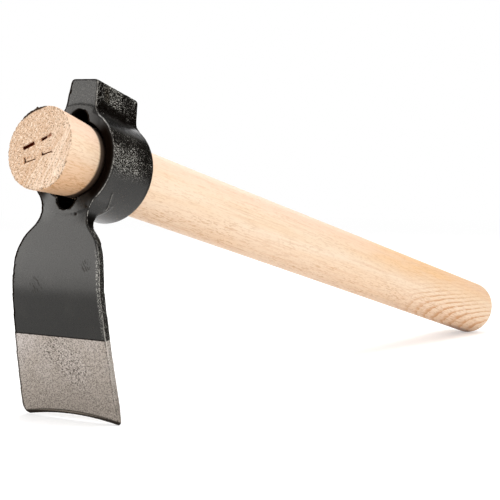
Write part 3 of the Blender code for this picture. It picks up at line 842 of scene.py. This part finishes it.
def handleProfile():
    front, tip = -handle["stub"], handle["length"] - handle["stub"]
    ease, butt = handle["endRounding"], handle["buttRounding"]
    profile = [(0, front)] + [(handle["endRadius"] * i / 24, front) for i in range(1, 24)]
    profile += arc((handle["endRadius"] - ease, front + ease), ease, -pi / 2, 0, 4)
    stations = [front + ease + row for row in handle["rimRows"]]
    count = int((tip - butt - stations[-1]) / handle["rowStep"])
    stations += [stations[-1] + (tip - butt - stations[-1]) * (i + 1) / count for i in range(count - 1)]
    profile += [(handleRadius(y), y) for y in stations]
    profile += arc((handle["gripRadius"] - butt, tip - butt), butt, 0, pi / 2, 10)
    end = profile[-1][0]
    return profile + [(end * (1 - i / 6), tip) for i in range(1, 6)] + [(0, tip)]


def driverSlot(number, x, z, tilt, length, width, depth):
    bm = bmesh.new()
    bmesh.ops.create_cube(bm, size=1)
    bmesh.ops.subdivide_edges(bm, edges=bm.edges[:], cuts=5, use_grid_fill=True)
    bmesh.ops.scale(bm, vec=(length, depth + handle["slotSpare"], width), verts=bm.verts)
    for v in bm.verts:  # torn fibres along the slot's walls
        torn = noise.noise_vector(v.co * 1.3 + Vector((number * 9, 0, 0)))
        v.co += torn * handle["slotTear"] * min(width / 2, 1)
    bmesh.ops.rotate(bm, verts=bm.verts, matrix=Matrix.Rotation(-radians(tilt), 3, "Y"))
    y = -handle["stub"] - endBow(x, z) + (depth - handle["slotSpare"]) / 2
    bmesh.ops.translate(bm, verts=bm.verts, vec=(x, y, z))
    return pieceFrom(f"driverSlot{number}", bm)


def turnedHandle():
    bm = spunAboutHandle(handleProfile(), handle["segments"])
    front, end, reach = -handle["stub"], handle["endRadius"], handle["chipReach"]
    for v in bm.verts:
        radius = hypot(v.co.x, v.co.z)
        if radius < 1:
            continue
        outward = Vector((v.co.x, 0, v.co.z)) / radius
        angle = atan2(v.co.z, v.co.x)
        near = smoothStep(reach, 0, v.co.y - front) * smoothStep(end - reach, end - 0.4, radius)
        bite = max(noise.noise(outward * end / handle["chipSize"]) + 0.1, 0)  # saw chips
        v.co -= outward * handle["chip"] * bite * near
        v.co.y += handle["chip"] * 0.8 * bite * near
        for where, length, half in handle["splinters"]:
            aside = abs(degrees(angle) - where) / half
            if near > 0.3 and aside < 1:
                v.co += outward * length * (1 - aside) * near
        if v.co.y > front + 2:
            wave = noise.noise(Vector((0, v.co.y / handle["waveLength"], angle)))
            v.co -= outward * handle["wave"] * (0.5 + 0.5 * wave)
        v.co.y -= endBow(v.co.x, v.co.z) * smoothStep(front + handle["endBowDepth"], front, v.co.y)
    body = pieceFrom("beechHandle", bm)
    slots = []
    for number, slot in enumerate(handle["slots"]):
        slots.append(driverSlot(number, *slot))
        addBoolean(body, slots[-1], "DIFFERENCE")
    bakeModifiers(body, slots)
    print("handle:", len(body.data.polygons), "faces")
    return body


# beech, seen as one solid block that the handle is turned from
beech = {
    "pale": (0.84, 0.67, 0.505), "warm": (0.8, 0.575, 0.375), "deep": (0.67, 0.395, 0.215),
    "butter": (0.82, 0.535, 0.3), "crest": (0.8, 0.585, 0.44),
    # the near-black brown at the butt's foot is a painted shadow
    "ringLine": (0.58, 0.275, 0.105), "fleck": (0.49, 0.245, 0.095), "paintedContactShadow": (0.22, 0.085, 0.03),
    "endGrain": (0.52, 0.325, 0.195), "endPale": (0.71, 0.5, 0.345), "endLit": (0.9, 0.72, 0.56),
    "endDark": (0.17, 0.095, 0.043), "torn": (0.014, 0.006, 0.003), "slotWall": (0.24, 0.045, 0.006),
    "inEye": (0.02, 0.01, 0.006), "roughness": 0.5, "sawnRoughness": 0.75,
    "ringStep": 2.15,  # width of a year's growth, mm
    "frontTurn": -22, "buttTurn": -55, "turnFrom": (150, 320),  # side that the rings face at the ends, degrees
    "runOutFrom": 300, "runOutTo": 434, "runOut": 0.165,  # there the layers rise by this slope
    "dash": (1.3, 0.12, 1.3), "shortDash": (1.6, 0.3, 1.6), "hair": (1.3, 0.02, 1.3),  # grains to the mm
    "sawTurn": -24, "sawStreak": (1.15, 1, 0.07),
    "contactShadowDepths": (385, 412), "mouthDepths": (-2.4, -0.4, 4, 8),
}


def beechMaterial():
    material, n, shader = newMaterial("beech", beech)
    spot, x, y, z, radius = n.toolSpot()
    below = n.dot(spot, (-0.1, 0, -0.995))

    # growth rings: nearly flat layers that turn along the handle and run out at the butt
    turns = [radians(beech[name]) for name in ("frontTurn", "buttTurn")]
    layers = n.mix(n.ramp(y, *beech["turnFrom"]), *[n.dot(spot, (cos(a), 0, sin(a))) for a in turns])
    start, end = beech["runOutFrom"], beech["runOutTo"]
    rise = n.ramp(y, start, end, 0, beech["runOut"] * (end - start), kind="LINEAR")
    sway = n.times(n.noise(spot, (0.05, 0.008, 0.05), 1), 3)
    bent = n.times(n.noise(spot, (0.3, 0.08, 0.3)), 0.9)
    layers = n.plus(layers, rise, n.plus(sway, bent))
    year = n.math("FRACT", n.math("DIVIDE", layers, "ringStep"))
    faded = n.ramp(n.noise(spot, (0.5, 0.12, 0.5), 2, 0.6), 0.34, 0.55, 0.4, 1)
    late = n.times(n.between(year, 0.42, 0.92, 0.94, 1), faded)

    # side grain: broad tone, painted shade that makes it darker and warmer below, short dashes and hair lines
    # along the grain
    onStub = n.ramp(y, 5, -2)
    under = n.mix(onStub, n.ramp(below, 1, 17), n.ramp(below, -7, 14))
    broad = n.noise(spot, (0.11, 0.01, 0.11), 3, 0.55)
    patch = n.ramp(n.noise(spot, (0.13, 0.022, 0.13)), 0.36, 0.62)
    dash = n.noise(spot, beech["dash"], 2, 0.65)
    shortDash = n.noise(spot, beech["shortDash"], 1)
    hair = n.noise(spot, beech["hair"], 2, 0.6)
    ageing = n.times(
        n.ramp(y, 180, 330), n.ramp(below, 4, -10), n.ramp(patch, 0, 1, 0.55, 1),
        n.ramp(y, 345, 425, 1, 0.6))
    ringShare = n.times(n.ramp(y, 305, 360), n.mix(n.ramp(below, -9, 8), 0.14, 1))
    dashShare = n.times(n.mix(patch, 0.45, 1), n.mix(under, 0.3, 1), n.mix(onStub, 0.85, 0.95))
    flecks = n.most(
        n.times(n.ramp(dash, 0.55, 0.64), dashShare), n.times(n.ramp(shortDash, 0.58, 0.67), dashShare))
    # painted shadow at the very bottom of the butt, where it stands on the floor
    paintedContactShadow = n.times(n.ramp(below, 15.2, 16.7), n.ramp(y, *beech["contactShadowDepths"]), 0.85)
    side = n.coats(
        "pale",
        (n.ramp(broad, 0.38, 0.66, 0.1, 0.6), "warm"),
        (n.ramp(below, -3, -13), "crest"),
        (ageing, "butter"),
        # painted shade: the underside darker and warmer, more so on the stub
        (n.times(under, n.mix(onStub, 0.42, 0.84)), "deep"),
        (n.times(late, n.plus(ringShare, 0.06)), "ringLine"),
        (flecks, "fleck"),
        (n.times(n.ramp(hair, 0.5, 0.66), n.mix(under, 0.2, 0.34)), "ringLine"),
        (paintedContactShadow, "paintedContactShadow"))

    # sawn end grain: pores, torn fibres, faint rings and saw streaks at the lower right
    fuzz = n.noise(spot, 1.15, 2, 0.7)
    pore = n.ramp(n.noise(spot, 1.45, 1), 0.57, 0.65)
    lit = n.ramp(n.noise(spot, (1.3, 1.3, 1.313), 1), 0.44, 0.35)
    greyer = n.ramp(n.noise(spot, 0.14), 0.42, 0.62)
    saw = n.ramp(n.noise(n.turned(spot, beech["sawTurn"]), beech["sawStreak"], 1), 0.44, 0.62)
    sawHere = n.ramp(n.dot(spot, (0.7, 0, -0.7)), -6, 8, 0.1, 0.42)
    sawn = n.coats(
        "endPale",
        (n.ramp(fuzz, 0.34, 0.66), "endGrain"),
        (n.ramp(n.dot(spot, (0.9, 0, -0.43)), -4, 15, 0, 0.6), "endLit"),
        (n.times(pore, n.mix(greyer, 0.7, 1)), "endDark"),
        (n.times(lit, 0.7), "endLit"),
        (n.times(late, 0.1), "endDark"),
        (n.times(saw, sawHere), "fleck"))
    onEnd = n.times(n.ramp(n.size(n.facing((0, 1, 0))), 0.55, 0.9), n.ramp(y, 0, -15))

    # torn rim, painted shade deep in the slots, dirt and painted shade on the wood at and inside the eye's
    # mouth; depth is from the bowed saw cut
    outward = n.math("DIVIDE", n.most(x, 0), handle["endRadius"])
    bow = n.times(n.math("POWER", outward, handle["endBowPower"]), handle["endBow"])
    limit = n.times(n.plus(z, handle["endRadius"] - handle["endBowSpare"] / tan(lean)), tan(lean))
    bow = n.most(n.math("MINIMUM", bow, limit), 0)
    depth = n.plus(n.less(y, -handle["stub"]), bow)
    rim = n.times(n.ramp(radius, 19.2, 19.9), n.ramp(depth, 1.1, 0.2))
    tornHere = n.ramp(n.noise(spot, 0.8, 2, 0.6), 0.48, 0.58)
    topLeft = n.times(
        n.ramp(n.dot(spot, (-0.454, 0, 0.891)), 17.6, 19), n.ramp(radius, 18.6, 19.3), n.ramp(depth, 1.4, 0.6))
    sunk = n.times(n.ramp(depth, 0.6, 1.4), n.ramp(radius, 13.5, 12.5))
    color = n.coats(
        side,
        (onEnd, sawn),
        (n.times(rim, tornHere, 0.7), "endDark"),
        (n.times(topLeft, 0.95), "torn"),
        # painted shade deep in the driver slots
        (n.times(sunk, n.ramp(y, -10, -14)), "slotWall"),
        # dirt and painted shade on the wood at and inside the eye's mouth
        (n.times(n.between(y, *beech["mouthDepths"]), 0.95), "inEye"))
    sideHeight = n.times(n.plus(dash, hair), -0.05)
    endHeight = n.less(n.times(fuzz, 0.35), n.times(pore, 0.12))
    height = n.mix(onEnd, sideHeight, endHeight)
    n.fill(shader, {
        "Base Color": color,
        "Roughness": n.mix(onEnd, "roughness", "sawnRoughness"),
        "Metallic": n.times(n.most(sunk, topLeft), 0.95),
        "Normal": n.add("Bump", {"Height": height, "Strength": 0.8, "Distance": 0.001}).outputs[0],
    })
    return material


handlePiece = turnedHandle()
setOnFrame(handlePiece, beechMaterial(), sharp=50)
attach(handlePiece, "handle")
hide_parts("handle")


# studio: floor, lamps, black cards, sky and camera
studio = {
    "floorRadius": 7, "floorColor": (0.8, 0.8, 0.8), "floorGlow": 0.34,
    "floorFade": (0.5, 1.5),  # from a shadowed floor near the tool to plain white far off, m
    "skyFill": 0.5,
    "lamps": [  # name, place, aim, size, radiance
        ("frontWindow", (-1.17, -1.13, 0.435), (0, -0.15, 0.1), (1, 1), 3.6),
        ("edgeStrip", (1.25, -0.8, 0.45), (0, -0.05, 0.1), (0.4, 1.1), 6.5),
        ("topPanel", (0.15, 0.1, 1.25), (0, 0, 0.08), (1, 1), 3.2),
        ("rearPanel", (-0.47, 0.91, 0.4), (0, -0.15, 0.14), (0.5, 0.3), 1.8),
    ],
    "floorPanel": ((-0.49, -0.76, 0.004), 49, (0.72, 0.7), 2.6),  # place, turn, size, radiance; for gloss only
    "cardColor": (0.002, 0.002, 0.002),
    "cards": [  # name, place, size; seen only in the lacquer
        ("rightCard", (0.62, 0.62, 0.55), (1.5, 1.1)),
        ("leftCard", (-1.35, 0.55, 0.6), (1.2, 1.2)),
        ("backCard", (-0.3, 1.35, 0.62), (1.3, 1.24)),
    ],
}
view = {
    "place": (0.54258, -0.84713, 0.14962), "turn": (85.4163, -0.2186, 34.1294), "lens": 127.1, "sensor": 36,
}


def floorMaterial():
    material, n, shader = newMaterial("paleFloor", studio)
    n.fill(shader, {"Base Color": "floorColor", "Roughness": 0.9, "Specular IOR Level": 0.1})
    seen = n.seen()
    glow = n.add("Emission", {"Color": (1, 1, 1), "Strength": n.times(seen, "floorGlow")})
    white = n.add("Emission", {"Color": (1, 1, 1), "Strength": n.mix(seen, "skyFill", 1)})
    lit = n.add("AddShader", {0: shader.outputs[0], 1: glow.outputs[0]})
    away = n.add("VectorMath", {0: n.add("TexCoord").outputs["Object"]}, operation="LENGTH")
    far = n.ramp(away.outputs["Value"], *studio["floorFade"])
    blend = n.add("MixShader", {0: far, 1: lit.outputs[0], 2: white.outputs[0]})
    n.fill(n.tree.nodes["Material Output"], {"Surface": blend.outputs[0]})
    return material


def layFloor():
    bm = bmesh.new()
    bmesh.ops.create_circle(bm, cap_ends=True, radius=studio["floorRadius"], segments=96)
    floor = pieceFrom("floor", bm)
    floor.data.materials.append(floorMaterial())


def hangLamp(name, place, rotation, size, radiance):
    light = bpy.data.lights.new(name, "AREA")
    light.shape = "RECTANGLE"
    light.size, light.size_y = size
    light.energy = 4 * radiance * size[0] * size[1]
    lamp = addObject(name, light)
    lamp.location = place
    lamp.rotation_euler = rotation
    lamp.visible_camera = False
    return lamp


def hangLamps():
    for name, place, aim, size, radiance in studio["lamps"]:
        way = Vector(aim) - Vector(place)
        hangLamp(name, place, way.to_track_quat("-Z", "Y").to_euler(), size, radiance)
    place, angle, size, radiance = studio["floorPanel"]
    panel = hangLamp("floorPanel", place, (pi, 0, radians(angle)), size, radiance)
    panel.visible_diffuse = panel.visible_transmission = False


def hangCards():
    # black cards round the back keep the lacquer's edges and far sides dark
    material, n, shader = newMaterial("blackCloth", studio)
    n.fill(shader, {"Base Color": "cardColor", "Specular IOR Level": 0})
    for name, place, size in studio["cards"]:
        toTool = (Vector((0, -0.15, place[2])) - Vector(place)).to_track_quat("Z", "Y").to_matrix().to_4x4()
        where = Matrix.Translation(place) @ toTool @ Matrix.Diagonal((*size, 1, 1))
        bm = bmesh.new()
        bmesh.ops.create_grid(bm, x_segments=1, y_segments=1, size=0.5, matrix=where)
        card = pieceFrom(name, bm)
        card.data.materials.append(material)
        card.visible_camera = card.visible_diffuse = card.visible_shadow = card.visible_transmission = False


def paintSky():
    world = bpy.data.worlds.new("whiteStudio")
    world.use_nodes = True
    n = Nodes(world.node_tree, studio)
    strength = n.mix(n.seen(), "skyFill", 1)
    n.fill(n.tree.nodes["Background"], {"Color": (1, 1, 1), "Strength": strength})
    bpy.context.scene.world = world


def setCamera():
    data = bpy.data.cameras.new("view")
    data.lens = view["lens"]
    data.sensor_width = view["sensor"]
    data.clip_start = 0.01
    camera = addObject("view", data)
    camera.location = view["place"]
    camera.rotation_euler = [radians(a) for a in view["turn"]]
    bpy.context.scene.camera = camera


setCamera()
layFloor()
hangLamps()
hangCards()
paintSky()
bpy.context.scene.view_settings.view_transform = "Standard"
print("studio is set")
